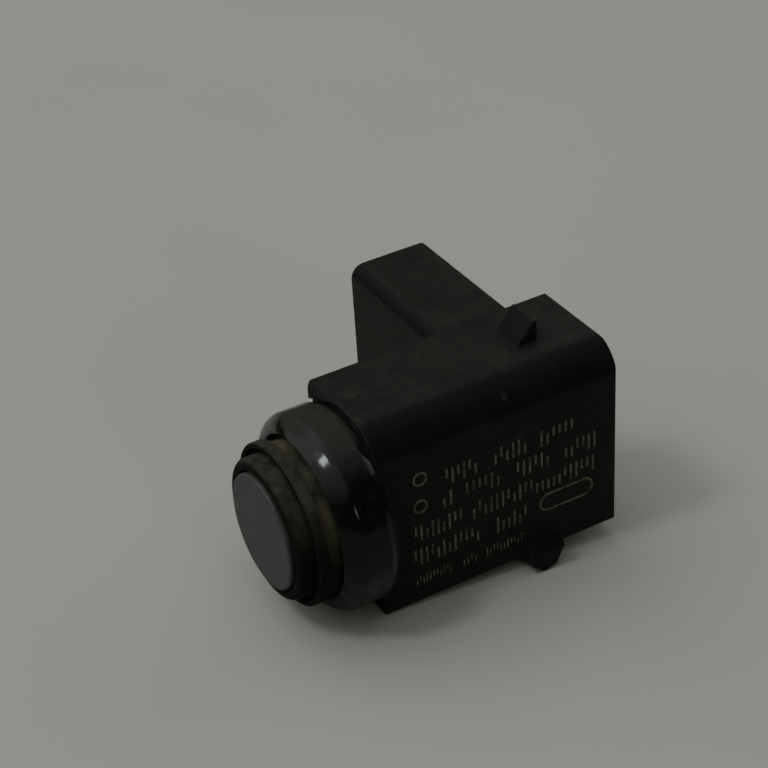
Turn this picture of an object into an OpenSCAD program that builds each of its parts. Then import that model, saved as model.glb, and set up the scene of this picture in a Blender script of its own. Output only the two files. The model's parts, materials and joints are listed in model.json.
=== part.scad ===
// Ultrasonic parking sensor for a bumper. A narrow moulded housing carries a round nose in front
// and a plug socket at its side. Millimetres, +Z up. The nose looks along -Y, the socket opens
// along -X, and the origin is on the sensing axis, inside the collar's straight land.

/* [Membrane cup] */
// Outside radius of the aluminium cup
pot_r = 7; // [6.6:0.05:7.6]
// Length of the cup
pot_len = 9.5; // [9:0.1:10]
// Thickness of the sounding membrane
membrane_t = 0.8; // [0.5:0.05:1.2]
// Side wall of the cup
pot_wall = 1; // [0.8:0.05:1.2]
// How far the rim at the open end stands out
pot_rim = 0.8; // [0.4:0.05:0.9]
// Thickness of the rim
pot_rim_t = 1.2; // [0.8:0.1:1.6]
// Rounding of the cup's front edge
pot_round = 0.3; // [0.1:0.05:0.5]
// How far the cup stands out of its rubber sleeve
pot_proud = 0.5; // [0.2:0.05:0.9]

/* [Sounder] */
// Gap between the piezo disc and the cup's wall
piezo_gap = 2; // [1.8:0.05:2.4]
// Thickness of the piezo disc
piezo_t = 0.5; // [0.3:0.05:0.8]
// Thickness of the damping foam
foam_t = 4; // [3:0.1:4.5]
// Thickness of the sealing plug behind the foam
seal_t = 2; // [1.5:0.1:2.4]
// Diameter of the two wires
wire_d = 0.6; // [0.4:0.05:0.7]
// Height of the wire that feeds the piezo disc
live_wire_z = 1.5; // [0.5:0.1:2.5]
// Room between the earth wire and the edge of the wire hole
wire_margin = 0.2; // [0.1:0.05:0.3]
// Length of each wire that lies on the board
solder_len = 2; // [1:0.1:3]

/* [Rubber ring] */
// Wall of the sleeve round the cup
sleeve_wall = 1.55; // [1.3:0.05:1.8]
// Rounding of the sleeve's front edge
sleeve_round = 0.75; // [0.3:0.05:0.9]
// Width of the slit between cup and sleeve
slit_w = 0.3; // [0.15:0.05:0.4]
// Depth of that slit
slit_depth = 0.8; // [0.4:0.1:1.2]
// How far the sleeve stands out of the lip
sleeve_proud = 1.8; // [1.4:0.1:2.2]
// Width of the recess between sleeve and lip
recess_w = 0.65; // [0.4:0.05:0.8]
// Depth of that recess
recess_depth = 0.8; // [0.5:0.05:1]
// Wall of the lip
lip_wall = 0.65; // [0.5:0.05:0.9]
// Length of the lip
lip_len = 1.4; // [1.2:0.1:2]
// Rounding of the lip's front edge
lip_round = 0.3; // [0.1:0.05:0.4]
// Length of the groove between lip and collar
groove_len = 1.4; // [1:0.1:1.8]
// Depth of that groove
groove_drop = 0.65; // [0.4:0.05:0.8]
// Rubber between the cup's rim and the nose's wall
ring_wall = 1.84; // [1.75:0.01:2]
// Thickness of rubber behind the cup's rim
ring_web = 0.5; // [0.3:0.05:0.8]
// Step from the cup's open end to the rubber behind it
web_step = 0.3; // [0.1:0.05:0.5]

/* [Collar] */
// Wall of the collar over the nose
collar_wall = 1.1; // [0.9:0.05:1.5]
// Length of the collar's land behind the origin
land_back = 0.8; // [0.6:0.1:0.9]
// Length of the collar's land before the origin
land_front = 2.3; // [1.8:0.1:2.8]
// How far the collar's rear edge draws in
collar_edge = 0.3; // [0.1:0.05:0.5]
// Length of that rear edge
collar_edge_len = 0.7; // [0.65:0.05:0.9]
// Length of the collar's rounded front
dome_len = 2; // [1.8:0.05:2.2]
// How far the rounded front draws in
dome_drop = 1.6; // [1.4:0.05:1.7]
// Width of the gap between the rubber and the collar's hole
hole_gap = 0.8; // [0.6:0.05:0.95]
// Thickness of the collar's front lip
collar_lip_t = 1.2; // [1:0.05:1.4]

/* [Nose of the housing] */
// Wall of the nose's spigot
spigot_wall = 1.2; // [1:0.05:1.4]
// Thickness of the inward lip that keeps the rubber ring in
spigot_lip_t = 0.8; // [0.5:0.05:1]
// How far the nose's floor reaches behind the collar
nose_tail = 0.8; // [0.7:0.05:1.2]
// Step from the cup's inside to the hole that lets the wires through
wire_hole_step = 0.6; // [0.4:0.05:0.8]

/* [Body] */
// Width of the body
body_w = 14.7; // [14:0.1:17]
// Height of the body's top over the sensing axis
body_top = 12.4; // [12.2:0.1:13.5]
// Depth of the body's bottom under the sensing axis
body_bottom = 12.7; // [12.4:0.1:13.5]
// Length of the body
body_len = 33.3; // [32:0.1:38]
// How far the collar sits in the body's front
seat_depth = 0.5; // [0.2:0.05:0.8]
// Gap round the collar in that seat
seat_gap = 0.35; // [0.2:0.05:0.5]
// Gap behind the collar
collar_gap = 0.5; // [0.3:0.05:0.8]
// Wall of the body
wall = 1.4; // [1.2:0.05:1.6]
// Front wall of the body
front_wall = 1.7; // [1.4:0.1:2]
// Radius of the big long edge over the printed side
near_edge_r = 5; // [3.5:0.1:5.2]
// Radius of the long edge over the socket side
far_edge_r = 0.4; // [0.3:0.1:1]
// Radius of the two lower long edges
low_edge_r = 0.7; // [0.5:0.1:1.5]
// Radius of the edges round the body's front
front_edge_r = 1.5; // [0.8:0.1:1.8]
// Radius of the edges round the body's rear
rear_edge_r = 0.6; // [0.3:0.05:0.7]

/* [Rear cover] */
// Thickness of the cover
cover_t = 1.6; // [1.2:0.1:2]
// Width of the ledge that the cover sits on
ledge = 0.6; // [0.4:0.05:0.7]
// Depth of the cover's plug rim
plug_len = 1.5; // [1:0.1:2]
// Wall of the plug rim
plug_wall = 0.8; // [0.6:0.05:1]

/* [Plug socket] */
// Reach of the socket from the body's side
socket_reach = 18.75; // [17:0.05:21]
// Height of the socket, down from the body's top
socket_h = 20; // [19.5:0.5:22]
// Width of the socket along the body
socket_w = 10.9; // [10.2:0.1:11.5]
// Place of the socket's middle along the body
socket_y = 23.35; // [22.5:0.05:24]
// Wall of the socket
socket_wall = 1.2; // [1:0.05:1.4]
// Depth of the socket
socket_depth = 14.6; // [13:0.1:15]
// Radius of the socket's long edges to the nose
socket_front_r = 1.8; // [1.3:0.1:2.2]
// Radius of the socket's long edges to the rear
socket_rear_r = 1; // [0.6:0.1:1.5]
// Width of the key rib in the socket
key_w = 1.5; // [1:0.1:2]
// Height of the key rib
key_h = 0.7; // [0.4:0.05:0.8]
// Width of the latch nib
nib_w = 5; // [4:0.1:6]
// Height of the latch nib
nib_h = 0.8; // [0.5:0.05:1]
// Length of the latch nib's ramp
nib_len = 2; // [1.5:0.1:2.5]
// Distance of the nib from the socket's mouth
nib_inset = 4; // [3:0.1:5]

/* [Terminal pins] */
// Distance between the pins
pin_pitch = 5; // [4:0.1:5.5]
// Width of a pin's blade
blade_w = 2; // [1.5:0.1:2.5]
// Thickness of a pin's blade
blade_t = 0.8; // [0.6:0.05:1]
// Length of the blade inside the socket
blade_len = 5.8; // [5:0.1:6.5]
// Length of the blade's pointed tip
blade_tip = 0.6; // [0.3:0.05:0.8]
// Width of the blade's tip
tip_w = 1; // [0.6:0.1:1.4]
// Thickness of the square tail that goes through the board
tail_t = 0.7; // [0.5:0.05:0.8]
// How far the tail shows behind the board
tail_proud = 0.6; // [0.3:0.05:1]

/* [Clip lugs] */
// Width of the upper lug
top_lug_w = 4.5; // [3.5:0.1:5]
// Length of the upper lug
top_lug_len = 2.9; // [2.4:0.1:3.5]
// Height of the upper lug
top_lug_h = 2.7; // [2:0.1:3]
// Length of the upper lug's flat crest
top_lug_crest = 0.4; // [0.3:0.05:0.8]
// Distance of the upper lug's middle from the sensing axis, to the socket's side
top_lug_shift = 1.35; // [0.8:0.05:2]
// Place of the upper lug's front along the body
top_lug_y = 24.5; // [23.5:0.1:25]
// Place of the lower lug's front along the body
low_lug_y = 20.8; // [20:0.1:22]
// Length of the lower lug
low_lug_len = 4.7; // [4.2:0.1:5.5]
// How far the lower lug stands out of the body's side
low_lug_out = 1.85; // [1.2:0.05:2.2]
// How far the lower lug hangs under the body
low_lug_drop = 1.5; // [1:0.05:2]
// Width of the lower lug under the body
low_lug_under = 6; // [4:0.1:7]
// Height on the body's side where the lower lug's roof starts, over the body's bottom
low_lug_roof = 3.9; // [3:0.1:4.5]
// Height of the lower lug's outer face over the body's bottom
low_lug_face = 1.3; // [0.6:0.1:2]
// Height of the lower lug's rear end over the body's bottom
low_lug_back = 2.1; // [1.6:0.1:2.4]
// Length of the lower lug's front ramp
low_lug_ramp = 1.8; // [1.2:0.1:2.2]
// Length of the lower lug's foot
low_lug_foot = 1.7; // [1.2:0.1:2]
// How far the foot rises to its rear
low_lug_rise = 0.5; // [0.2:0.05:0.8]

/* [Circuit board] */
// Thickness of the board
board_t = 1; // [0.8:0.05:1.2]
// Distance of the board's face from the sensing axis
board_x = 2; // [1.6:0.05:2.2]
// Depth of the grooves that hold the board
slot_depth = 1.2; // [0.8:0.05:1.5]
// Thickness of the groove's ribs
rib_t = 0.7; // [0.5:0.05:0.9]
// Width of the chip
chip_w = 3.9; // [3:0.1:5]
// Length of the chip
chip_len = 5; // [4:0.1:6]
// Thickness of the chip
chip_t = 1.5; // [1:0.1:2]
// Number of the chip's legs on each side
chip_legs = 4; // [3:1:5]
// Distance between the chip's legs
leg_spacing = 1.2; // [1:0.02:1.2]
// Width of a leg
leg_w = 0.45; // [0.3:0.05:0.6]
// Reach of a leg from the chip's side
leg_reach = 1; // [0.7:0.05:1.2]
// Thickness of a leg
leg_t = 0.25; // [0.15:0.05:0.35]
// Place of the chip along the body
chip_y = 17; // [16.5:0.1:17.5]
// Height of the chip's middle
chip_z = -5; // [-6:0.1:-4]
// Radius of the transformer's flanges
coil_r = 3.2; // [2.8:0.1:3.4]
// Height of the transformer's bobbin
coil_h = 5; // [4:0.1:5.5]
// Thickness of the bobbin's flanges
coil_flange_t = 0.6; // [0.4:0.05:0.8]
// Radius of the transformer's ferrite rod
core_r = 1.2; // [0.9:0.05:1.4]
// Thickness of the ferrite head
core_head_t = 0.8; // [0.5:0.05:1]
// Wall of the bobbin's tube
bobbin_wall = 0.5; // [0.3:0.05:0.6]
// How far the winding stays below the flanges
winding_inset = 0.3; // [0.1:0.05:0.5]
// Place of the transformer along the body
coil_y = 11; // [10.5:0.1:11.5]
// Height of the transformer's middle
coil_z = 5; // [4.6:0.1:5.6]
// Radius of the supply capacitor
can_r = 2; // [1.5:0.1:2.3]
// Height of the supply capacitor
can_h = 5; // [4:0.1:5.5]
// Rounding of the capacitor's edge
can_round = 0.35; // [0.2:0.05:0.5]
// Place of the supply capacitor along the body
can_y = 11; // [10.5:0.1:11.5]
// Height of the supply capacitor's middle
can_z = -5.5; // [-6.5:0.1:-5]
// Number of small capacitors
capacitor_count = 4; // [2:1:5]
// Number of small resistors
resistor_count = 5; // [2:1:6]
// Length of the small chip parts
chip_part_len = 2; // [1.6:0.1:2.2]
// Width of the small chip parts
chip_part_w = 1.25; // [1:0.05:1.5]
// Thickness of a small capacitor
small_cap_t = 1; // [0.7:0.05:1.2]
// Thickness of a small resistor
small_res_t = 0.6; // [0.4:0.05:0.8]
// Distance between the small chip parts
chip_part_pitch = 3; // [2.6:0.1:3.2]

/* [Fits] */
// Clearance of pieces that are pushed into each other
fit = 0.03; // [0.02:0.005:0.06]
// Clearance of the board in its grooves
board_fit = 0.08; // [0.05:0.01:0.12]

/* [Hidden] */
$fn = 96;

// Overlap that keeps cuts and joined shapes clean
over = 0.5;
// Smallest radius of an inside corner
corner_min = 0.3;

// Places along the sensing axis, from the collar to the nose
collar_back = land_back + collar_edge_len;
collar_front = -land_front - dome_len;
collar_shelf = collar_front + collar_lip_t;
lip_back = collar_front - groove_len;
lip_front = lip_back - lip_len;
sleeve_front = lip_front - sleeve_proud;
pot_front = sleeve_front - pot_proud;
pot_rear = pot_front + pot_len;
pot_floor = pot_front + membrane_t;

// Places along the sensing axis, from the nose's floor to the rear
nose_floor = pot_rear + ring_web;
spigot_front = collar_shelf + fit;
body_front = collar_back - seat_depth;
seat_floor = collar_back + collar_gap;
cavity_front = seat_floor + front_wall;
body_rear = body_front + body_len;
cover_seat = body_rear - cover_t;
plug_front = cover_seat - plug_len;

// Radii of the nose, from the cup outwards
pot_bore = pot_r - pot_wall;
rim_r = pot_r + pot_rim;
sleeve_r = pot_r + sleeve_wall;
recess_r = sleeve_r + recess_w;
lip_r = recess_r + lip_wall;
neck_r = lip_r - groove_drop;
ring_r = rim_r + ring_wall;
spigot_bore = ring_r + fit;
spigot_r = spigot_bore + spigot_wall;
collar_r = spigot_r + fit + collar_wall;
collar_hole_r = neck_r + hole_gap;
dome_r = (pow(dome_drop, 2) + pow(dome_len, 2)) / (2 * dome_drop);
wire_hole_r = pot_bore - wire_hole_step;

// The sounder's stack inside the cup
piezo_r = pot_bore - piezo_gap;
piezo_back = pot_floor + piezo_t;
foam_back = piezo_back + foam_t;
seal_back = foam_back + seal_t;
plug_r = pot_bore - fit;

// The board stands on edge across the body
board_face = board_x;
board_back = board_x + board_t;
board_front = cavity_front + board_fit;
board_rear = plug_front - board_fit;
board_low = -body_bottom + wall + board_fit;
// The big rounded edge leaves less height above the board's back
inner_edge_r = max(near_edge_r - wall, corner_min);
edge_start = body_w / 2 - wall - inner_edge_r;
edge_reach = max(board_back + board_fit - edge_start, 0);
edge_drop = inner_edge_r - sqrt(pow(inner_edge_r, 2) - pow(edge_reach, 2));
board_high = body_top - wall - board_fit - edge_drop;

// Both wires lie on the board's face, and the earth wire passes beside the piezo disc
wire_x = board_face - wire_d / 2;
wire_end = board_front + solder_len;
ground_wire_r = wire_hole_r - wire_d / 2 - wire_margin;
ground_wire_z = -sqrt(pow(ground_wire_r, 2) - pow(wire_x, 2));

// The plug socket and its pins
side_x = -body_w / 2;
mouth_x = side_x - socket_reach;
base_x = mouth_x + socket_depth;
socket_low = body_top - socket_h;
socket_mid = body_top - socket_h / 2;
socket_front = socket_y - socket_w / 2;
socket_rear = socket_y + socket_w / 2;
pin_tip = base_x - blade_len;
pin_shoulder = side_x + wall;

// Round edges of the body's section: far low, near low, near top, far top
body_radii = [low_edge_r, low_edge_r, near_edge_r, far_edge_r];
// Round edges of the socket's section: front low, rear low, rear top, front top
socket_radii = [socket_front_r, socket_rear_r, socket_rear_r, socket_front_r];

// The outline between two places, drawn across X and Z and stretched along Y
module along_y(from, to) {
    translate([0, to, 0])
        rotate([90, 0, 0])
            linear_extrude(to - from)
                children();
}

// The outline drawn across Y and Z and stretched along X
module along_x(from, to) {
    translate([from, 0, 0])
        rotate([90, 0, 90])
            linear_extrude(to - from)
                children();
}

// A profile of radius and place, turned about the sensing axis
module turned() {
    rotate([-90, 0, 0])
        rotate_extrude()
            children();
}

// A turned disc between two places
module disc(r, from, to) {
    turned()
        translate([0, from])
            square([r, to - from]);
}

// What is left outside a round corner
module corner_nick(r) {
    difference() {
        translate([-over, -over])
            square(r + over);
        translate([r, r])
            circle(r);
    }
}

// A rectangle with its own radius at each corner, from the lower left one round
module rounded_plate(size, radii) {
    difference() {
        square(size);
        corner_nick(radii[0]);
        translate([size[0], 0])
            rotate(90)
                corner_nick(radii[1]);
        translate(size)
            rotate(180)
                corner_nick(radii[2]);
        translate([0, size[1]])
            rotate(270)
                corner_nick(radii[3]);
    }
}

// The body's section, drawn inwards by a given step
module body_section(inset) {
    translate([-body_w / 2 + inset, -body_bottom + inset])
        rounded_plate(
            [body_w - 2 * inset, body_top + body_bottom - 2 * inset],
            [for (r = body_radii) max(r - inset, corner_min)]
        );
}

// The body is rounded in its section, in its side view and in its plan
module body_block() {
    intersection() {
        along_y(body_front, body_rear)
            body_section(0);
        along_x(-body_w / 2, body_w / 2)
            translate([body_front, -body_bottom])
                rounded_plate(
                    [body_len, body_top + body_bottom],
                    [front_edge_r, rear_edge_r, rear_edge_r, front_edge_r]
                );
        translate([-body_w / 2, body_front, -body_bottom])
            linear_extrude(body_top + body_bottom)
                rounded_plate([body_w, body_len], [front_edge_r, front_edge_r, rear_edge_r, rear_edge_r]);
    }
}

// The socket's section, drawn inwards by a given step
module socket_section(inset) {
    translate([socket_front + inset, socket_low + inset])
        rounded_plate(
            [socket_w - 2 * inset, socket_h - 2 * inset],
            [for (r = socket_radii) max(r - inset, corner_min)]
        );
}

module socket_block() {
    along_x(mouth_x, side_x + over)
        socket_section(0);
}

// The seat of the collar: round, and cut back to its floor over the printed side's half
module collar_seat() {
    disc(collar_r + seat_gap, body_front - over, seat_floor);
    translate([0, body_front - over, -body_bottom - over])
        cube([body_w, seat_floor - body_front + over, body_top + body_bottom + 2 * over]);
}

// The hollow of the socket, with a key rib left on its lower wall
module socket_hollow() {
    difference() {
        along_x(mouth_x - over, base_x)
            socket_section(socket_wall);
        translate([mouth_x - 2 * over, socket_y - key_w / 2, socket_low])
            cube([socket_depth + 4 * over, key_w, socket_wall + key_h]);
    }
}

// A ramped nib that the plug's latch snaps over, on the socket's rear face
module latch_nib() {
    translate([mouth_x + nib_inset, socket_rear, socket_mid - nib_w / 2])
        linear_extrude(nib_w)
            polygon([[0, -over], [0, 0], [nib_len, nib_h], [nib_len, -over]]);
}

module top_lug() {
    top_lug_rear = top_lug_y + top_lug_len;
    along_x(-top_lug_shift - top_lug_w / 2, -top_lug_shift + top_lug_w / 2)
        polygon([
            [top_lug_y, body_top - over],
            [top_lug_y, body_top],
            [top_lug_rear - top_lug_crest, body_top + top_lug_h],
            [top_lug_rear, body_top + top_lug_h],
            [top_lug_rear, body_top - over]
        ]);
}

// The lower lug wraps the body's lower edge. Its side view is cut from its section.
module low_lug() {
    side = body_w / 2;
    foot_z = -body_bottom - low_lug_drop;
    roof_z = -body_bottom + low_lug_roof;
    foot_rear = low_lug_y + low_lug_ramp + low_lug_foot;
    lug_rear = low_lug_y + low_lug_len;
    intersection() {
        along_y(low_lug_y, lug_rear)
            polygon([
                [side - low_lug_under, -body_bottom + over],
                [side - low_lug_under, foot_z],
                [side + low_lug_out, foot_z],
                [side + low_lug_out, -body_bottom + low_lug_face],
                [side, roof_z],
                [side - over, roof_z],
                [side - over, -body_bottom + over]
            ]);
        along_x(side - low_lug_under, side + low_lug_out)
            polygon([
                [low_lug_y, roof_z],
                [low_lug_y, -body_bottom],
                [low_lug_y + low_lug_ramp, foot_z],
                [foot_rear, foot_z + low_lug_rise],
                [lug_rear, -body_bottom + low_lug_face],
                [lug_rear, -body_bottom + low_lug_back]
            ]);
    }
}

// Two ribs at the top and two at the bottom hold the board's edges
module board_grooves() {
    for (x = [board_face - board_fit - rib_t, board_back + board_fit]) {
        intersection() {
            translate([x, cavity_front - over, -body_bottom])
                cube([rib_t, plug_front - fit - cavity_front + over, body_top + body_bottom]);
            difference() {
                along_y(cavity_front - over, plug_front)
                    body_section(wall - over);
                along_y(cavity_front - 2 * over, plug_front + over)
                    translate([-body_w / 2, board_low + slot_depth])
                        square([body_w, board_high - board_low - 2 * slot_depth]);
            }
        }
    }
}

// One terminal: a pointed blade through the socket's base and a tail through the board
module terminal(gap) {
    tail_end = board_back + tail_proud;
    linear_extrude(blade_t + 2 * gap, center = true)
        polygon([
            [pin_tip, -tip_w / 2 - gap],
            [pin_tip + blade_tip, -blade_w / 2 - gap],
            [pin_shoulder, -blade_w / 2 - gap],
            [pin_shoulder, blade_w / 2 + gap],
            [pin_tip + blade_tip, blade_w / 2 + gap],
            [pin_tip, tip_w / 2 + gap]
        ]);
    translate([pin_shoulder - over, -tail_t / 2 - gap, -tail_t / 2 - gap])
        cube([tail_end - pin_shoulder + over, tail_t + 2 * gap, tail_t + 2 * gap]);
}

// A terminal at its place in the row, counted from the middle one
module placed_terminal(step, gap) {
    translate([0, socket_y, socket_mid + step * pin_pitch])
        rotate([90, 0, 0])
            terminal(gap);
}

// The body and socket as a hollow shell, open at the rear and at the socket's mouth
module shell() {
    difference() {
        union() {
            body_block();
            socket_block();
        }
        collar_seat();
        along_y(cavity_front, body_rear + over)
            body_section(wall);
        along_y(cover_seat, body_rear + over)
            body_section(wall - ledge);
        socket_hollow();
    }
}

module housing() {
    color("#16171a")
    difference() {
        union() {
            shell();
            board_grooves();
            disc(spigot_r, spigot_front, collar_back + nose_tail);
            latch_nib();
            top_lug();
            low_lug();
        }
        disc(neck_r + fit, spigot_front - over, spigot_front + spigot_lip_t + over);
        disc(spigot_bore, spigot_front + spigot_lip_t, nose_floor);
        disc(wire_hole_r, nose_floor - over, cavity_front + over);
        for (step = [-1, 0, 1]) {
            placed_terminal(step, fit);
        }
    }
}

module front_collar() {
    color("#0b0b0d")
    turned()
        difference() {
            intersection() {
                union() {
                    translate([0, -land_front])
                        square([collar_r, land_front + land_back]);
                    polygon([
                        [0, land_back],
                        [collar_r, land_back],
                        [collar_r - collar_edge, collar_back],
                        [0, collar_back]
                    ]);
                    translate([collar_r - dome_r, -land_front])
                        circle(dome_r);
                    translate([0, collar_front])
                        square([collar_r - dome_drop, dome_len]);
                }
                translate([0, collar_front])
                    square([collar_r, collar_back - collar_front]);
            }
            translate([0, collar_front - over])
                square([collar_hole_r, collar_lip_t + 2 * over]);
            translate([0, collar_shelf])
                square([spigot_r + fit, collar_back - collar_shelf + over]);
        }
}

module decoupling_ring() {
    web_bore = pot_bore + web_step;
    grip_r = pot_r + fit;
    rim_seat_r = rim_r + fit;
    rim_front = pot_rear - pot_rim_t - fit;
    rim_back = pot_rear + fit;
    shoulder = spigot_front + spigot_lip_t + fit;
    color("#2b2721")
    turned()
        difference() {
            polygon([
                [web_bore, nose_floor],
                [ring_r, nose_floor],
                [ring_r, shoulder],
                [neck_r, shoulder],
                [neck_r, lip_back],
                [lip_r, lip_back],
                [lip_r, lip_front],
                [recess_r, lip_front],
                [recess_r, lip_front + recess_depth],
                [sleeve_r, lip_front + recess_depth],
                [sleeve_r, sleeve_front],
                [pot_r + slit_w, sleeve_front],
                [pot_r + slit_w, sleeve_front + slit_depth],
                [grip_r, sleeve_front + slit_depth],
                [grip_r, rim_front],
                [rim_seat_r, rim_front],
                [rim_seat_r, rim_back],
                [web_bore, rim_back]
            ]);
            translate([lip_r, lip_front])
                rotate(90)
                    corner_nick(lip_round);
            translate([sleeve_r, sleeve_front])
                rotate(90)
                    corner_nick(sleeve_round);
        }
}

module membrane_pot() {
    color("#4c4e50")
    turned()
        difference() {
            union() {
                translate([0, pot_front])
                    square([pot_r, pot_len]);
                translate([0, pot_rear - pot_rim_t])
                    square([rim_r, pot_rim_t]);
            }
            translate([0, pot_floor])
                square([pot_bore, pot_rear - pot_floor + over]);
            translate([pot_r, pot_front])
                rotate(90)
                    corner_nick(pot_round);
        }
}

module piezo_disc() {
    color("#d9d2bd")
    disc(piezo_r, pot_floor, piezo_back);
}

module wire_hole(z, from, to) {
    along_y(from - over, to + over)
        translate([wire_x, z])
            circle(wire_d / 2 + fit);
}

// A round plug in the cup with a hole for each wire
module cup_plug(from, to) {
    difference() {
        disc(plug_r, from, to);
        wire_hole(live_wire_z, from, to);
        wire_hole(ground_wire_z, from, to);
    }
}

module damping_foam() {
    color("#6d6a62")
    cup_plug(piezo_back, foam_back);
}

module pot_seal() {
    color("#8a8578")
    cup_plug(foam_back, seal_back);
}

module wire(z, from) {
    along_y(from, wire_end)
        translate([wire_x, z])
            circle(d = wire_d);
}

module live_wire() {
    color("#a33327")
    wire(live_wire_z, piezo_back);
}

module ground_wire() {
    color("#2a2a2a")
    wire(ground_wire_z, pot_floor);
}

module circuit_board() {
    color("#24573a")
    difference() {
        translate([board_face, board_front, board_low])
            cube([board_t, board_rear - board_front, board_high - board_low]);
        for (step = [-1, 0, 1]) {
            placed_terminal(step, board_fit);
        }
    }
}

module control_chip() {
    leg_run = (chip_legs - 1) * leg_spacing;
    color("#202124")
    translate([board_face, chip_y, chip_z]) {
        translate([-chip_t, -chip_w / 2, -chip_len / 2])
            cube([chip_t - leg_t, chip_w, chip_len]);
        for (leg = [0 : chip_legs - 1]) {
            translate([-leg_t, -chip_w / 2 - leg_reach, leg * leg_spacing - leg_run / 2 - leg_w / 2])
                cube([leg_t, chip_w + 2 * leg_reach, leg_w]);
        }
    }
}

// A profile of radius and height, turned about an axis that stands on the board's face
module standing(y, z) {
    translate([board_face, y, z])
        rotate([0, -90, 0])
            rotate_extrude()
                children();
}

module transformer_bobbin() {
    tube_r = core_r + fit + bobbin_wall;
    color("#3a3026")
    standing(coil_y, coil_z)
        difference() {
            union() {
                square([coil_r, coil_flange_t]);
                square([tube_r, coil_h]);
                translate([0, coil_h - coil_flange_t])
                    square([coil_r, coil_flange_t]);
            }
            translate([0, -over])
                square([core_r + fit, coil_h + 2 * over]);
        }
}

module transformer_winding() {
    inner_r = core_r + bobbin_wall + 2 * fit;
    color("#a5572b")
    standing(coil_y, coil_z)
        translate([inner_r, coil_flange_t + fit])
            square([coil_r - winding_inset - inner_r, coil_h - 2 * coil_flange_t - 2 * fit]);
}

module transformer_core() {
    color("#3c3d40")
    standing(coil_y, coil_z)
        union() {
            square([core_r, coil_h + core_head_t]);
            translate([0, coil_h])
                square([coil_r, core_head_t]);
        }
}

module supply_capacitor() {
    color("#7d8085")
    standing(can_y, can_z)
        difference() {
            square([can_r, can_h]);
            translate([can_r, can_h])
                rotate(180)
                    corner_nick(can_round);
        }
}

// A column of small parts on the board's back
module chip_parts(count, y, thickness) {
    run = (count - 1) * chip_part_pitch;
    for (step = [0 : count - 1]) {
        translate([board_back, y - chip_part_w / 2, step * chip_part_pitch - run / 2 - chip_part_len / 2])
            cube([thickness, chip_part_w, chip_part_len]);
    }
}

module chip_capacitors() {
    color("#9a7b55")
    chip_parts(capacitor_count, coil_y, small_cap_t);
}

module chip_resistors() {
    color("#1c1c1e")
    chip_parts(resistor_count, chip_y, small_res_t);
}

module terminal_pin(step) {
    color("#c2b27a")
    placed_terminal(step, 0);
}

module terminal_pin_supply() {
    terminal_pin(1);
}

module terminal_pin_signal() {
    terminal_pin(0);
}

module terminal_pin_ground() {
    terminal_pin(-1);
}

// The cover fills the ledge in the housing's rear, and its hollow rim plugs into the body
module rear_cover() {
    color("#1b1c1f")
    union() {
        along_y(cover_seat, body_rear)
            body_section(wall - ledge + fit);
        difference() {
            along_y(plug_front, cover_seat + over)
                body_section(wall + fit);
            along_y(plug_front - over, cover_seat)
                body_section(wall + plug_wall);
        }
    }
}

housing();
front_collar();
decoupling_ring();
membrane_pot();
piezo_disc();
damping_foam();
pot_seal();
live_wire();
ground_wire();
circuit_board();
control_chip();
transformer_bobbin();
transformer_winding();
transformer_core();
supply_capacitor();
chip_capacitors();
chip_resistors();
terminal_pin_supply();
terminal_pin_signal();
terminal_pin_ground();
rear_cover();
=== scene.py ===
# %% [markdown]
# # A parking sensor, dressed
# The solids of a bumper parking sensor are loaded as a fixed frame. This lesson gives every piece
# its finish: dusty black plastic, a glossy collar, brown-grey rubber and a dull painted cup. It then adds
# the pale marks on the plain side, and lights the part on a table.

# %% Load the frame
import json
import math

import bpy
from mathutils import Matrix, Vector


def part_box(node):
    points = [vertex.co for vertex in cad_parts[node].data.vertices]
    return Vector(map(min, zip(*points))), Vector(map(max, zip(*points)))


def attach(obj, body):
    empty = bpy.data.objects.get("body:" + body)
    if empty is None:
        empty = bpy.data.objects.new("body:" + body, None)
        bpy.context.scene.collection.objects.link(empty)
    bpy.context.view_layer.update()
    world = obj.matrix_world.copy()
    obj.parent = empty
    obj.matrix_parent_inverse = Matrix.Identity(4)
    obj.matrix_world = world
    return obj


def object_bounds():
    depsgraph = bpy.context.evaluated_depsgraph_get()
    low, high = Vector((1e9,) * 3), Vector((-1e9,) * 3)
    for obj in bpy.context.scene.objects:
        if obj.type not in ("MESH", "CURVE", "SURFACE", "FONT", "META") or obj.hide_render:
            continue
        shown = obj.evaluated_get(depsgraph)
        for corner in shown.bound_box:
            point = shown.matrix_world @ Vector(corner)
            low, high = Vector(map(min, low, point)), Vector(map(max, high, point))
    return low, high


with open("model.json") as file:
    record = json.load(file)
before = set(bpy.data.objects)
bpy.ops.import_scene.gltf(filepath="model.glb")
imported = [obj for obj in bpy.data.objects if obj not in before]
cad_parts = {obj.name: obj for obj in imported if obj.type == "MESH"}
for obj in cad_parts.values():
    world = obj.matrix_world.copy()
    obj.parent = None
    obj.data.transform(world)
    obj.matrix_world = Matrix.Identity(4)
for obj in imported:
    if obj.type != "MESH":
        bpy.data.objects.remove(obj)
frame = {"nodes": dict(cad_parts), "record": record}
cad_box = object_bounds()
MM = 0.001
nodes = frame["nodes"]


def in_mm(box):
    """The corners of a box, in millimetres, for printing."""
    return [[round(v / MM, 2) for v in corner] for corner in box]


print("loaded", len(nodes), "pieces, box in mm", in_mm(cad_box))

# %% [markdown]
# ## Small helpers for node materials
# A finish is a few layers: a base colour, dust, wear along edges and a fine bump. Each layer is a
# handful of shader nodes. Short helpers keep those layers readable, and every pattern reads Object
# coordinates, so it stays on the piece when the camera moves.

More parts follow.
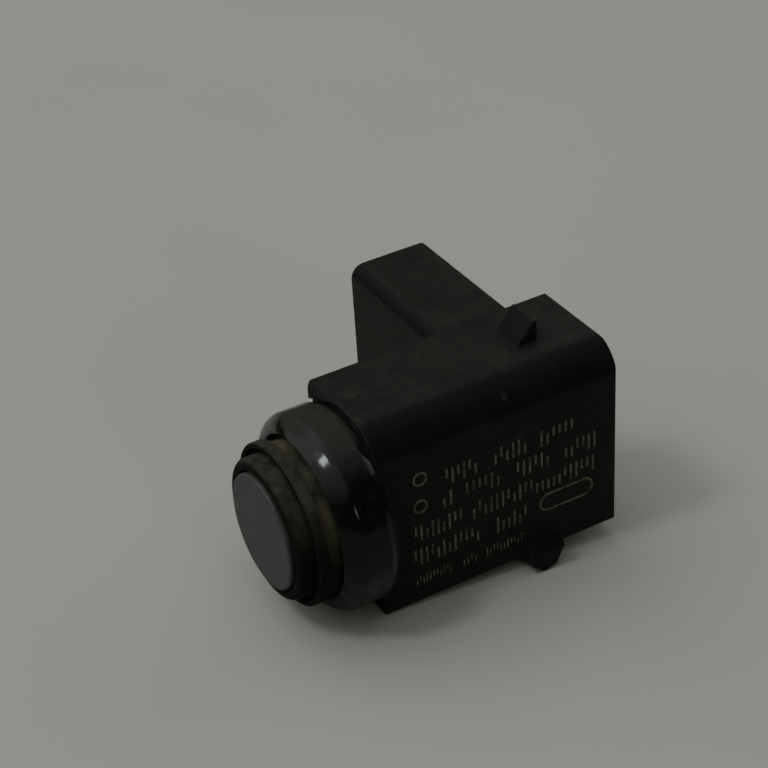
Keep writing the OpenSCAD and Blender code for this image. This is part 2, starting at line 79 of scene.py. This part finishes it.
# %% Shader helpers
class Finish:
    """A material under construction: its node tree, its shader and short calls that add nodes."""

    def __init__(self, name, colour, roughness, specular=0.3, metallic=0.0):
        self.material = bpy.data.materials.new(name)
        self.material.use_nodes = True
        self.tree = self.material.node_tree
        self.shader = self.tree.nodes["Principled BSDF"]
        self.shader.inputs["Base Color"].default_value = (*colour, 1.0)
        self.shader.inputs["Roughness"].default_value = roughness
        self.shader.inputs["Specular IOR Level"].default_value = specular
        self.shader.inputs["Metallic"].default_value = metallic
        self.place = self.tree.nodes.new("ShaderNodeTexCoord").outputs["Object"]

    def node(self, kind, **settings):
        made = self.tree.nodes.new(kind)
        for name, value in settings.items():
            setattr(made, name, value)
        return made

    def feed(self, socket, value):
        """Links an output to a socket, or sets a plain value on it."""
        if isinstance(value, bpy.types.NodeSocket):
            self.tree.links.new(value, socket)
        else:
            socket.default_value = value

    def noise(self, size, detail=3.0, roughness=0.55, place=None):
        """Noise whose lumps are about this many metres across."""
        made = self.node("ShaderNodeTexNoise")
        self.feed(made.inputs["Vector"], place or self.place)
        made.inputs["Scale"].default_value = 1.0 / size
        made.inputs["Detail"].default_value = detail
        made.inputs["Roughness"].default_value = roughness
        return made.outputs["Fac"]

    def band(self, value, low, high, bottom=0.0, top=1.0):
        """Maps low..high onto bottom..top with soft ends."""
        made = self.node("ShaderNodeMapRange", interpolation_type="SMOOTHSTEP")
        self.feed(made.inputs["Value"], value)
        made.inputs["From Min"].default_value = low
        made.inputs["From Max"].default_value = high
        made.inputs["To Min"].default_value = bottom
        made.inputs["To Max"].default_value = top
        return made.outputs["Result"]

    def math(self, operation, *values):
        made = self.node("ShaderNodeMath", operation=operation)
        for socket, value in zip(made.inputs, values):
            self.feed(socket, value)
        return made.outputs["Value"]

    def times(self, first, *more):
        """Multiplies values in turn."""
        for value in more:
            first = self.math("MULTIPLY", first, value)
        return first

    def vector(self, operation, *values):
        """A vector operation. Its node is given back, as some have a number for a result."""
        made = self.node("ShaderNodeVectorMath", operation=operation)
        for socket, value in zip(made.inputs, values):
            self.feed(socket, value)
        return made

    def mix(self, share, under, over):
        """Lays one colour over another."""
        made = self.node("ShaderNodeMix", data_type="RGBA")
        self.feed(made.inputs["Factor"], share)
        for socket, colour in zip(made.inputs[6:8], (under, over)):
            self.feed(socket, colour if isinstance(colour, bpy.types.NodeSocket) else (*colour, 1.0))
        return made.outputs[2]

    def axis(self, letter):
        """One coordinate of the place, in metres."""
        made = self.node("ShaderNodeSeparateXYZ")
        self.feed(made.inputs["Vector"], self.place)
        return made.outputs[letter]

    def looks(self):
        """The X, Y and Z parts of the surface's normal, which tell the way it faces."""
        geometry = self.node("ShaderNodeNewGeometry")
        split = self.node("ShaderNodeSeparateXYZ")
        self.feed(split.inputs["Vector"], geometry.outputs["Normal"])
        return split.outputs

    def flats(self):
        """Near 1 on faces square to an axis, 0 on rounded edges, which hands have wiped clean."""
        x, y, z = (self.math("ABSOLUTE", part) for part in self.looks())
        return self.band(self.math("MAXIMUM", x, self.math("MAXIMUM", y, z)), 0.93, 0.995)

    def edges(self, radius):
        """Near 1 along sharp edges, 0 on flats: a rounded normal is set against the true one."""
        soft = self.node("ShaderNodeBevel", samples=8)
        soft.inputs["Radius"].default_value = radius
        geometry = self.node("ShaderNodeNewGeometry")
        dot = self.vector("DOT_PRODUCT", soft.outputs["Normal"], geometry.outputs["True Normal"])
        return self.band(dot.outputs["Value"], 0.99, 0.80)

    def bump(self, height, depth, under=None):
        """Adds relief of this depth in metres, over an earlier relief if there is one."""
        made = self.node("ShaderNodeBump")
        made.inputs["Distance"].default_value = depth
        self.feed(made.inputs["Height"], height)
        if under is not None:
            self.feed(made.inputs["Normal"], under)
        return made.outputs["Normal"]

    def soft_edge(self, radius):
        """A normal that rounds the sharp edges of a moulding."""
        made = self.node("ShaderNodeBevel", samples=6)
        made.inputs["Radius"].default_value = radius
        return made.outputs["Normal"]

    def wear(self, name, value):
        """Feeds one of the shader's own sockets."""
        self.feed(self.shader.inputs[name], value)


# %% [markdown]
# ## Moulded black plastic
# The housing is a matte moulding. It is nearly black, with a fine grain, a thin film of pale dust that
# is streaked lengthwise, and greyer edges where it has been handled. Rounded edges are wiped clean, so
# they stay darker than the flats beside them. The edge mask comes from a Bevel node, so no wear has to
# be painted by hand. Noise on coordinates squeezed along Y gives the streaks. One pale nick sits on the
# near rounding: a spot round one point, made ragged by the noise that mottles the dust.

# %% Housing and cover plastic
DUST = (0.062, 0.060, 0.050)
WORN_EDGE = (0.11, 0.105, 0.09)
FRONT_SMEAR = (9.0 * MM, 1.5 * MM)
STREAK = (1.0, 0.1, 1.0)
NICK = Vector((6.2, 19.3, 10.6)) * MM
NICK_TONE = (0.016, 0.016, 0.015)
NICK_RAGGED = 2.2 * MM
NICK_RIM = (1.60 * MM, 1.25 * MM)


def moulded_plastic(name, colour, dust_share, worn):
    finish = Finish(name, colour, roughness=0.5, specular=0.05)
    grain = finish.noise(0.16 * MM, detail=4.0)
    cloud = finish.noise(5.0 * MM, detail=6.0, roughness=0.65)
    mottle = finish.noise(0.8 * MM, detail=4.0, roughness=0.7)
    speck = finish.band(finish.noise(0.42 * MM, detail=1.0), 0.70, 0.76)
    along = finish.vector("MULTIPLY", finish.place, STREAK).outputs["Vector"]
    streak = finish.noise(0.8 * MM, detail=3.0, roughness=0.5, place=along)
    smear = finish.times(finish.band(finish.axis("Y"), *FRONT_SMEAR), finish.band(cloud, 0.50, 0.64))
    film = finish.times(
        finish.band(cloud, 0.25, 0.75, 0.5, 1.0),
        # Faces that look forward (-Y), towards the window lamp, get up to a quarter more film: that extra
        # is painted light on top of the dust.
        finish.band(finish.looks()["Y"], -0.2, -0.9, 1.0, 1.25),
        finish.band(mottle, 0.25, 0.75, 0.6, 1.3),
        finish.band(streak, 0.30, 0.70, 0.86, 1.14),
        finish.math("MULTIPLY_ADD", finish.flats(), 0.85, 0.15),
        finish.math("MULTIPLY_ADD", smear, 1.6, 1.0),
        dust_share,
    )
    rub = finish.times(finish.edges(0.20 * MM), finish.band(cloud, 0.40, 0.60, 0.25, 1.0))
    reach = finish.vector("DISTANCE", finish.place, NICK).outputs["Value"]
    nick = finish.band(finish.math("MULTIPLY_ADD", mottle, NICK_RAGGED, reach), *NICK_RIM)
    coat = finish.mix(film, colour, DUST)
    coat = finish.mix(finish.times(speck, 0.16), coat, DUST)
    coat = finish.mix(finish.times(rub, worn), coat, WORN_EDGE)
    coat = finish.mix(nick, coat, NICK_TONE)
    finish.wear("Base Color", coat)
    finish.wear("Roughness", finish.band(cloud, 0.25, 0.75, 0.40, 0.58))
    finish.wear("Normal", finish.bump(grain, 0.010 * MM, finish.soft_edge(0.18 * MM)))
    return finish.material


housing_plastic = moulded_plastic("housing_plastic", (0.0022, 0.0022, 0.0023), 0.14, 0.26)
cover_plastic = moulded_plastic("cover_plastic", (0.0032, 0.0032, 0.0034), 0.14, 0.18)
print("made", housing_plastic.name, "and", cover_plastic.name)

# %% [markdown]
# ## Gloss collar
# The collar is polished black plastic. It would mirror the room all round, but olive dust has dried on
# its crown and low down, and only a band between them is wiped clean. So the finish mixes a dull film
# into the gloss by height, and noise breaks the film into soft patches. The normal of the front rounding
# is turned towards a cone's, because a cone mirrors a lamp as a wider patch than a tight rounding does.

# %% Collar plastic
CROWN = (10.2 * MM, 11.6 * MM)
LOW_DOWN = (-1.0 * MM, -5.0 * MM)
LAND = (-2.8 * MM, -1.4 * MM)
FAR_SIDE = (4.0 * MM, 0.0)
COLLAR_BLACK = (0.0014, 0.0014, 0.0015)
COLLAR_FILM = (0.046, 0.043, 0.031)
NOSE_CONE = math.radians(28.0)
CONE_SHARE = 0.8
ROUNDING = (-1.9 * MM, -3.1 * MM)


def cone_normal(finish):
    """Turns the normal of the front rounding part of the way to that of a cone, so it mirrors wider."""
    outward = finish.vector("MULTIPLY", finish.place, (1.0, 0.0, 1.0)).outputs["Vector"]
    unit = finish.vector("NORMALIZE", outward).outputs["Vector"]
    spread = (math.cos(NOSE_CONE),) * 3
    forward = (0.0, -math.sin(NOSE_CONE), 0.0)
    cone = finish.vector("MULTIPLY_ADD", unit, spread, forward).outputs["Vector"]
    share = finish.times(finish.band(finish.axis("Y"), *ROUNDING), CONE_SHARE)
    blend = finish.node("ShaderNodeMix", data_type="VECTOR")
    finish.feed(blend.inputs["Factor"], share)
    finish.feed(blend.inputs[4], finish.node("ShaderNodeNewGeometry").outputs["Normal"])
    finish.feed(blend.inputs[5], cone)
    return finish.vector("NORMALIZE", blend.outputs[1]).outputs["Vector"]


def gloss_collar(name):
    finish = Finish(name, COLLAR_BLACK, roughness=0.2, specular=0.16)
    cloud = finish.noise(4.0 * MM, detail=5.0, roughness=0.55)
    speck = finish.band(finish.noise(0.30 * MM, detail=1.0), 0.69, 0.75)
    smudge = finish.noise(1.3 * MM, detail=6.0, roughness=0.7)
    height = finish.axis("Z")
    on_land = finish.band(finish.axis("Y"), *LAND)
    far_side = finish.band(finish.axis("X"), *FAR_SIDE)
    crown = finish.times(finish.band(height, *CROWN), finish.math("MAXIMUM", on_land, far_side))
    film = finish.math("ADD", crown, finish.band(height, *LOW_DOWN, 0.0, 0.65))
    film = finish.times(film, finish.band(cloud, 0.30, 0.70, 0.35, 1.0))
    film = finish.math("ADD", film, finish.band(smudge, 0.46, 0.72, 0.0, 0.32))
    coat = finish.mix(finish.times(film, 0.24), COLLAR_BLACK, COLLAR_FILM)
    coat = finish.mix(finish.times(speck, 0.12), coat, DUST)
    finish.wear("Base Color", coat)
    finish.wear("Roughness", finish.band(film, 0.0, 0.8, 0.12, 0.75))
    ripple = finish.noise(1.6 * MM, detail=3.0)
    finish.wear("Normal", finish.bump(ripple, 0.008 * MM, cone_normal(finish)))
    return finish.material


collar_plastic = gloss_collar("collar_plastic")
print("made", collar_plastic.name)

# %% [markdown]
# ## Rubber ring
# The ring is silicone that dust sticks to. It looks brown-grey, and tan dirt has packed into the
# groove between its lip and the collar. The dirt is placed by the distance along the sensing axis,
# which is the Y coordinate here.

# %% Ring rubber
collar_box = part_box("front_collar")
GROOVE_LENGTH = 1.4 * MM
groove_front = collar_box[0].y - GROOVE_LENGTH
RING_BLACK = (0.0036, 0.0032, 0.0026)
RING_DUST = (0.034, 0.032, 0.023)
GROOVE_DIRT = (0.046, 0.043, 0.026)


def dusty_rubber(name):
    finish = Finish(name, RING_BLACK, roughness=0.72, specular=0.03)
    cloud = finish.noise(1.8 * MM, detail=6.0, roughness=0.65)
    grain = finish.noise(0.12 * MM, detail=3.0)
    # The film is thick on faces that look up and thin elsewhere, so the sleeve round the cup stays dark:
    # partly dust that settles from above, partly painted shade in the recess between cup and lip.
    upward_dust_and_shade = finish.band(finish.looks()["Z"], 0.1, 0.8, 0.06, 0.85)
    film = finish.times(finish.band(cloud, 0.30, 0.70, 0.2, 1.0), upward_dust_and_shade)
    patch = finish.noise(5.0 * MM, detail=3.0, roughness=0.5)
    dirt = finish.times(
        finish.band(finish.axis("Y"), groove_front - 0.12 * MM, groove_front),
        finish.band(patch, 0.36, 0.60),
        finish.band(finish.axis("Z"), -3.0 * MM, 7.0 * MM, 0.2, 1.0),
        0.9,
    )
    coat = finish.mix(film, RING_BLACK, RING_DUST)
    coat = finish.mix(dirt, coat, GROOVE_DIRT)
    finish.wear("Base Color", coat)
    finish.wear("Roughness", finish.band(cloud, 0.30, 0.70, 0.62, 0.85))
    finish.wear("Normal", finish.bump(grain, 0.010 * MM, finish.soft_edge(0.10 * MM)))
    return finish.material


ring_rubber = dusty_rubber("ring_rubber")
print("made", ring_rubber.name, "with dirt behind y =", round(groove_front / MM, 2), "mm")

# %% [markdown]
# ## Membrane cup
# The cup is aluminium with a coat of dull grey paint on its face. The face is scuffed, and its
# raised edge is a little brighter where the paint has thinned. The cup's wall is dusty like the ring.

# %% Cup paint
cup_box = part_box("membrane_pot")
FACE_DEPTH = 0.12 * MM
FACE_TONES = ((0.017, 0.018, 0.018), (0.033, 0.034, 0.032))
WALL_TONES = ((0.010, 0.009, 0.008), (0.024, 0.021, 0.017))
THIN_PAINT = (0.16, 0.16, 0.155)


def scuffed_paint(name):
    finish = Finish(name, FACE_TONES[1], roughness=0.5, specular=0.3)
    cloud = finish.noise(2.0 * MM, detail=8.0, roughness=0.72)
    grain = finish.noise(0.10 * MM, detail=3.0)
    on_face = finish.band(finish.axis("Y"), cup_box[0].y + 2.0 * FACE_DEPTH, cup_box[0].y + FACE_DEPTH)
    scuffs = finish.band(cloud, 0.30, 0.70)
    coat = finish.mix(on_face, finish.mix(scuffs, *WALL_TONES), finish.mix(scuffs, *FACE_TONES))
    rub = finish.times(finish.edges(0.15 * MM), finish.band(cloud, 0.40, 0.60), 0.35)
    coat = finish.mix(rub, coat, THIN_PAINT)
    finish.wear("Base Color", coat)
    finish.wear("Roughness", finish.band(cloud, 0.30, 0.70, 0.42, 0.62))
    finish.wear("Normal", finish.bump(grain, 0.008 * MM, finish.soft_edge(0.10 * MM)))
    return finish.material


cup_aluminium = scuffed_paint("cup_aluminium")
print("made", cup_aluminium.name)

# %% [markdown]
# ## What is inside
# The inner pieces don't show in the assembled part, but each still gets its own finish, because the
# part can be taken to pieces. A mottled tone and a fine grain are enough for these small things.

# %% Inner finishes
def mottled(name, colour, tone, roughness, metallic=0.0, lump=0.8 * MM):
    finish = Finish(name, colour, roughness, metallic=metallic)
    cloud = finish.noise(lump, detail=4.0)
    finish.wear("Base Color", finish.mix(finish.band(cloud, 0.3, 0.7), colour, tone))
    finish.wear("Roughness", finish.band(cloud, 0.3, 0.7, 0.85 * roughness, min(1.15 * roughness, 1.0)))
    finish.wear("Normal", finish.bump(finish.noise(0.1 * MM), 0.006 * MM))
    return finish.material


finishes = {
    "housing_plastic": housing_plastic,
    "cover_plastic": cover_plastic,
    "collar_plastic": collar_plastic,
    "ring_rubber": ring_rubber,
    "cup_aluminium": cup_aluminium,
    "piezo_ceramic": mottled("piezo_ceramic", (0.62, 0.57, 0.45), (0.70, 0.66, 0.55), 0.6),
    "foam": mottled("foam", (0.10, 0.095, 0.08), (0.20, 0.19, 0.16), 0.95, lump=0.4 * MM),
    "seal_rubber": mottled("seal_rubber", (0.22, 0.20, 0.16), (0.29, 0.27, 0.22), 0.5),
    "red_wire": mottled("red_wire", (0.32, 0.025, 0.018), (0.40, 0.05, 0.03), 0.4),
    "black_wire": mottled("black_wire", (0.015, 0.015, 0.015), (0.03, 0.03, 0.03), 0.4),
    "board": mottled("board", (0.015, 0.085, 0.035), (0.025, 0.12, 0.05), 0.35),
    "chip_plastic": mottled("chip_plastic", (0.012, 0.012, 0.013), (0.022, 0.022, 0.024), 0.6),
    "bobbin_plastic": mottled("bobbin_plastic", (0.04, 0.03, 0.022), (0.06, 0.047, 0.035), 0.55),
    "copper": mottled("copper", (0.50, 0.19, 0.07), (0.62, 0.28, 0.12), 0.35, metallic=1.0, lump=0.3 * MM),
    "ferrite": mottled("ferrite", (0.05, 0.05, 0.055), (0.08, 0.08, 0.085), 0.5),
    "can_aluminium": mottled("can_aluminium", (0.52, 0.52, 0.54), (0.62, 0.62, 0.64), 0.35, metallic=1.0),
    "capacitor_ceramic": mottled("capacitor_ceramic", (0.27, 0.17, 0.085), (0.34, 0.23, 0.12), 0.6),
    "terminal_brass": mottled("terminal_brass", (0.52, 0.46, 0.30), (0.64, 0.60, 0.45), 0.3, metallic=1.0),
}
for part in frame["record"]["subparts"]:
    piece = nodes[part["node"]]
    piece.data.materials.clear()
    piece.data.materials.append(finishes[part["material_slot"]])

# %% [markdown]
# ## Pale marks on the plain side
# Sensors of this kind carry a small pale print on the flat side. Here it is rows of plain ticks of
# three heights, with an empty oval and two rings, so it says nothing. Each place in a row is one point,
# and Geometry Nodes sets one of the three ticks on it. The ticks are thin solids, a hair proud of the
# side, because a raised film survives any export. A ray finds the side's place.

# %% Ink and the printed side
INK_TONES = ((0.034, 0.034, 0.023), (0.114, 0.113, 0.076))


def print_ink(name):
    finish = Finish(name, INK_TONES[1], roughness=0.7, specular=0.15)
    cloud = finish.noise(1.5 * MM, detail=5.0, roughness=0.7)
    finish.wear("Base Color", finish.mix(finish.band(cloud, 0.35, 0.65), *INK_TONES))
    return finish.material


INK_PROUD = 0.03 * MM
INK_SUNK = 0.01 * MM
STROKE = 0.27 * MM

ink = print_ink("print_ink")
beside = Vector((30.0, 15.0, 0.0)) * MM
side_x = nodes["housing"].ray_cast(beside, Vector((-1.0, 0.0, 0.0)))[1].x
print("the printed side is at x =", round(side_x / MM, 3), "mm")

# %% A tree that sets ticks on points
# Each tick: its height and how far it is raised, in strokes. The first is as high as its row.
TICKS = ((8.0, 0.0), (5.0, 1.5), (5.0, -1.5))


def stroke_tree():
    tree = bpy.data.node_groups.new("stroke_rows", "GeometryNodeTree")
    tree.interface.new_socket("Geometry", in_out="INPUT", socket_type="NodeSocketGeometry")
    for label, kind in (("Stroke", "Float"), ("Depth", "Float"), ("Seed", "Int"), ("Ink", "Material")):
        tree.interface.new_socket(label, in_out="INPUT", socket_type="NodeSocket" + kind)
    tree.interface.new_socket("Geometry", in_out="OUTPUT", socket_type="NodeSocketGeometry")
    add, link = tree.nodes.new, tree.links.new
    given = add("NodeGroupInput").outputs

    def strokes_long(count):
        """A length of this many strokes."""
        made = add("ShaderNodeMath")
        made.operation = "MULTIPLY"
        link(given["Stroke"], made.inputs[0])
        made.inputs[1].default_value = count
        return made.outputs["Value"]

    def bar(height, lift):
        """A thin bar, one stroke wide."""
        size = add("ShaderNodeCombineXYZ")
        link(given["Depth"], size.inputs["X"])
        link(given["Stroke"], size.inputs["Y"])
        link(strokes_long(height), size.inputs["Z"])
        cube = add("GeometryNodeMeshCube")
        link(size.outputs["Vector"], cube.inputs["Size"])
        raise_by = add("ShaderNodeCombineXYZ")
        link(strokes_long(lift), raise_by.inputs["Z"])
        move = add("GeometryNodeTransform")
        link(cube.outputs["Mesh"], move.inputs["Geometry"])
        link(raise_by.outputs["Vector"], move.inputs["Translation"])
        return move.outputs["Geometry"]

    ticks = add("GeometryNodeJoinGeometry")
    for height, lift in TICKS:
        tick = add("GeometryNodeGeometryToInstance")
        link(bar(height, lift), tick.inputs["Geometry"])
        link(tick.outputs["Instances"], ticks.inputs["Geometry"])

    pick = add("FunctionNodeRandomValue")
    pick.data_type = "INT"
    whole_numbers = [s for s in pick.inputs if s.type == "INT"]
    whole_numbers[0].default_value, whole_numbers[1].default_value = 0, len(TICKS) - 1
    link(given["Seed"], pick.inputs["Seed"])
    height = add("GeometryNodeInputNamedAttribute")
    height.data_type = "FLOAT"
    height.inputs["Name"].default_value = "row_height"
    scale = add("ShaderNodeCombineXYZ")
    scale.inputs["X"].default_value = 1.0
    link(height.outputs["Attribute"], scale.inputs["Y"])
    link(height.outputs["Attribute"], scale.inputs["Z"])

    place = add("GeometryNodeInstanceOnPoints")
    link(given["Geometry"], place.inputs["Points"])
    link(ticks.outputs["Geometry"], place.inputs["Instance"])
    place.inputs["Pick Instance"].default_value = True
    link([s for s in pick.outputs if s.type == "INT"][0], place.inputs["Instance Index"])
    link(scale.outputs["Vector"], place.inputs["Scale"])
    real = add("GeometryNodeRealizeInstances")
    link(place.outputs["Instances"], real.inputs["Geometry"])
    paint = add("GeometryNodeSetMaterial")
    link(real.outputs["Geometry"], paint.inputs["Geometry"])
    link(given["Ink"], paint.inputs["Material"])
    link(paint.outputs["Geometry"], add("NodeGroupOutput").inputs["Geometry"])
    return tree


rows_tree = stroke_tree()
print("the tree has inputs", [s.name for s in rows_tree.interface.items_tree if s.in_out == "INPUT"])

# %% Rows of ticks
# Each row: height over the axis, height of its ticks, then where each group starts and ends, all in mm.
# The spacing of the ticks is a share of their height.
ROWS = (
    (3.8, 2.2, ((10.8, 14.6), (17.3, 21.3), (23.6, 27.8))),
    (0.7, 2.2, ((10.3, 11.2), (13.4, 17.6), (20.3, 24.4), (27.0, 31.0))),
    (-2.6, 2.2, ((6.4, 12.4), (14.2, 30.8))),
    (-6.0, 2.2, ((6.2, 14.6), (17.4, 21.2))),
    (-9.3, 1.3, ((6.2, 10.8), (12.6, 14.2), (15.8, 20.6))),
)
TICK_SPACING = 0.36
TICK_SEED = 7
middle_x = side_x + (INK_PROUD - INK_SUNK) / 2

places, heights = [], []
for row_z, row_height, groups in ROWS:
    for start, end in groups:
        steps = round((end - start) / (TICK_SPACING * row_height))
        for step in range(steps + 1):
            places.append((middle_x, (start + step * (end - start) / steps) * MM, row_z * MM))
            heights.append(row_height * MM / (TICKS[0][0] * STROKE))

points = bpy.data.meshes.new("stroke_places")
points.from_pydata(places, [], [])
points.attributes.new("row_height", "FLOAT", "POINT").data.foreach_set("value", heights)
grower = bpy.data.objects.new("stroke_places", points)
bpy.context.scene.collection.objects.link(grower)
modifier = grower.modifiers.new("rows", "NODES")
modifier.node_group = rows_tree
wanted = {"Stroke": STROKE, "Depth": INK_PROUD + INK_SUNK, "Seed": TICK_SEED, "Ink": ink}
for socket in rows_tree.interface.items_tree:
    if socket.in_out == "INPUT" and socket.name in wanted:
        modifier[socket.identifier] = wanted[socket.name]

grown = grower.evaluated_get(bpy.context.evaluated_depsgraph_get())
strokes = bpy.data.objects.new("side_strokes", bpy.data.meshes.new_from_object(grown))
bpy.data.objects.remove(grower)
bpy.context.scene.collection.objects.link(strokes)
print("set", len(places), "ticks with", len(strokes.data.polygons), "faces")

# %% Oval and rings
RING_STEPS = 48
# Each ring: its middle along and over the axis, half its width and half its height, in mm.
RINGS = ((27.0, -5.7, 3.8, 1.3), (7.3, 4.9, 0.95, 0.95), (7.2, 1.1, 0.95, 0.95))


def flat_ring(middle_y, middle_z, half_width, half_height):
    """A thin closed ring on the printed side, round or stretched to an oval with straight sides."""
    straight = half_width - half_height
    loops = []
    for x in (side_x - INK_SUNK, side_x + INK_PROUD):
        for r in (half_height, half_height - STROKE):
            loop = []
            for step in range(RING_STEPS):
                angle = 2.0 * math.pi * (step + 0.5) / RING_STEPS
                shift = math.copysign(straight, math.cos(angle))
                loop.append((x, middle_y + shift + r * math.cos(angle), middle_z + r * math.sin(angle)))
            loops.append(loop)
    low_out, low_in, high_out, high_in = (k * RING_STEPS for k in range(4))
    sides = ((low_out, high_out), (high_out, high_in), (high_in, low_in), (low_in, low_out))
    faces = []
    for step in range(RING_STEPS):
        ahead = (step + 1) % RING_STEPS
        for first, second in sides:
            faces.append((first + step, first + ahead, second + ahead, second + step))
    return [p for loop in loops for p in loop], faces


ring_points, ring_faces = [], []
for ring in RINGS:
    found_points, found_faces = flat_ring(*(v * MM for v in ring))
    start = len(ring_points)
    ring_points += found_points
    ring_faces += [tuple(start + k for k in face) for face in found_faces]

ring_mesh = bpy.data.meshes.new("side_rings")
ring_mesh.from_pydata(ring_points, [], ring_faces)
ring_mesh.materials.append(ink)
rings = bpy.data.objects.new("side_rings", ring_mesh)
bpy.context.scene.collection.objects.link(rings)
for piece in (strokes, rings):
    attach(piece, "root")
print("made an oval and two rings with", len(ring_faces), "faces")

# %% [markdown]
# ## Camera
# The picture looks down on the part from beside its nose, through a long lens. The camera is set by
# the direction it looks from, its distance, and the small roll that the leaning part has in the frame.

# %% Camera
VIEW_AZIMUTH = math.radians(61.89)
VIEW_HEIGHT = math.radians(34.21)
VIEW_ROLL = math.radians(-3.86)
VIEW_DISTANCE = 223.06 * MM
VIEW_TARGET = Vector((0.30, 7.37, 13.80)) * MM
LENS = 93.75

back = Vector((
    math.sin(VIEW_AZIMUTH) * math.cos(VIEW_HEIGHT),
    -math.cos(VIEW_AZIMUTH) * math.cos(VIEW_HEIGHT),
    math.sin(VIEW_HEIGHT),
))
level = Vector((math.cos(VIEW_AZIMUTH), math.sin(VIEW_AZIMUTH), 0.0))
upright = back.cross(level)
right = math.cos(VIEW_ROLL) * level + math.sin(VIEW_ROLL) * upright
up = math.cos(VIEW_ROLL) * upright - math.sin(VIEW_ROLL) * level

camera = bpy.data.objects.new("camera", bpy.data.cameras.new("camera"))
bpy.context.scene.collection.objects.link(camera)
turn = Matrix((right, up, back)).transposed().to_4x4()
camera.matrix_world = Matrix.Translation(VIEW_TARGET + VIEW_DISTANCE * back) @ turn
camera.data.lens = LENS
camera.data.sensor_width = 36.0
camera.data.clip_start = 10.0 * MM
camera.data.clip_end = 20.0
bpy.context.scene.camera = camera
print("camera at", [round(v / MM, 1) for v in camera.location], "mm")

# %% [markdown]
# ## Table
# The part rests on the two lower front corners of its body and on the foot of its lower clip lug, with
# its rear end a little off the table. The table's plane goes through those places, and the part itself
# stays square to its own axes.

# %% Floor
FRONT_REST = Vector((0.0, 2.3, -12.7)) * MM
LUG_REST = Vector((0.0, 22.6, -14.2)) * MM
lean = math.atan2(FRONT_REST.z - LUG_REST.z, LUG_REST.y - FRONT_REST.y)
FLOOR_HALF = 1.5
FLOOR_TONES = ((0.283, 0.288, 0.270), (0.292, 0.297, 0.279))

floor_mesh = bpy.data.meshes.new("floor")
corners = [(-FLOOR_HALF, -FLOOR_HALF, 0), (FLOOR_HALF, -FLOOR_HALF, 0),
           (FLOOR_HALF, FLOOR_HALF, 0), (-FLOOR_HALF, FLOOR_HALF, 0)]
floor_mesh.from_pydata(corners, [], [(0, 1, 2, 3)])
floor = bpy.data.objects.new("floor", floor_mesh)
bpy.context.scene.collection.objects.link(floor)
floor.matrix_world = Matrix.Translation(LUG_REST) @ Matrix.Rotation(-lean, 4, "X")

table = Finish("table", FLOOR_TONES[0], roughness=0.8, specular=0.1)
table_cloud = table.noise(90.0 * MM, detail=3.0)
table.wear("Base Color", table.mix(table.band(table_cloud, 0.3, 0.7), *FLOOR_TONES))
floor_mesh.materials.append(table.material)
print("the part leans by", round(math.degrees(lean), 2), "degrees")

# %% [markdown]
# ## Light
# Most of the light is the pale upper part of the world, so the shadow is soft. A small window lamp over
# the nose is there for the bright patch that the collar mirrors, and a tiny spark lamp on the near side
# for the second one. Two large lamps fill the socket's side and the rear. The world is dark and brown near
# the horizon, so the upright sides stay nearly black.

# %% Lamps
# Each lamp: the way to it from the part, distance and size in metres, power in watts, colour.
LAMPS = {
    "window_lamp": ((0.0, -0.51, 0.86), 0.7, (0.10, 0.13), 1.15, (0.94, 0.98, 1.0)),
    "far_lamp": ((-0.60, -0.35, 0.72), 0.9, (1.0, 1.0), 1.9, (0.98, 0.99, 1.0)),
    "rear_lamp": ((-0.30, 0.92, 0.38), 0.9, (0.9, 0.6), 1.9, (1.0, 0.97, 0.92)),
    "spark_lamp": ((0.92, 0.02, 0.40), 0.7, (0.08, 0.08), 0.30, (1.0, 1.0, 1.0)),
}
part_middle = (cad_box[0] + cad_box[1]) / 2


def soft_lamp(name, direction, distance, size, power, colour):
    lamp = bpy.data.lights.new(name, "AREA")
    lamp.shape = "RECTANGLE"
    lamp.size, lamp.size_y = size
    lamp.energy = power
    lamp.color = colour
    lit = bpy.data.objects.new(name, lamp)
    bpy.context.scene.collection.objects.link(lit)
    toward = Vector(direction).normalized()
    lit.matrix_world = (
        Matrix.Translation(part_middle + distance * toward)
        @ toward.to_track_quat("Z", "Y").to_matrix().to_4x4()
    )


for lamp_name, lamp_values in LAMPS.items():
    soft_lamp(lamp_name, *lamp_values)
print("lit by", list(LAMPS))

# %% World
HORIZON = (0.064, 0.046, 0.022, 1.0)
ZENITH = (1.18, 1.17, 1.13, 1.0)
SKY_MIDDLE = (-0.20, -0.30, 0.93)
SKY_EDGE = 0.40

world = bpy.data.worlds.new("room")
world.use_nodes = True
sky = world.node_tree
look = sky.nodes.new("ShaderNodeTexCoord")
toward = sky.nodes.new("ShaderNodeVectorMath")
toward.operation = "DOT_PRODUCT"
toward.inputs[1].default_value = SKY_MIDDLE
rise = sky.nodes.new("ShaderNodeMapRange")
rise.interpolation_type = "SMOOTHSTEP"
rise.inputs["From Min"].default_value = SKY_EDGE
shades = sky.nodes.new("ShaderNodeMix")
shades.data_type = "RGBA"
shades.inputs[6].default_value = HORIZON
shades.inputs[7].default_value = ZENITH
sky.links.new(look.outputs["Generated"], toward.inputs[0])
sky.links.new(toward.outputs["Value"], rise.inputs["Value"])
sky.links.new(rise.outputs["Result"], shades.inputs["Factor"])
sky.links.new(shades.outputs[2], sky.nodes["Background"].inputs["Color"])
bpy.context.scene.world = world
bpy.context.scene.view_settings.view_transform = "Standard"
print("the world is", world.name, "with its pale middle at", SKY_MIDDLE)
